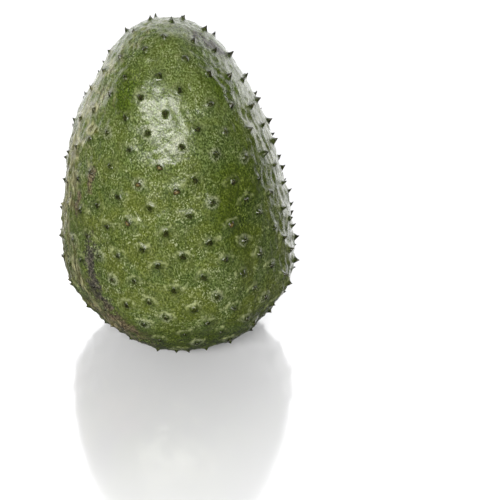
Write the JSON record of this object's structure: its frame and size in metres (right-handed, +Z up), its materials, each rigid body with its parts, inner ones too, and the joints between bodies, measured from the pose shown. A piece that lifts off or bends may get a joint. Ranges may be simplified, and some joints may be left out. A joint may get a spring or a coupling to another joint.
{
  "type": "soursop",
  "caption": "Whole egg-shaped green tropical fruit with short soft hooked spines all over its skin, standing blunt tip up on a small flat spot at its stem end, with a short stalk stub beneath.",
  "frame": {"origin": "on the surface that the fruit stands on, under the middle of the fruit's box", "axes": "+Z up from the flat spot at the stem end towards the blunt tip; the tip leans a little towards -X"},
  "size_m": [0.1349, 0.134, 0.1898],
  "materials": {
    "soursop_skin": "waxy olive green fruit rind with a soft gloss, fine pale specks and dark brown spine tips",
    "woody_stalk": "dry dark brown bark with a paler broken end"
  },
  "bodies": {
    "root": {"soursop_fruit": "soursop_skin", "stalk_stub": "woody_stalk"}
  },
  "joints": []
}
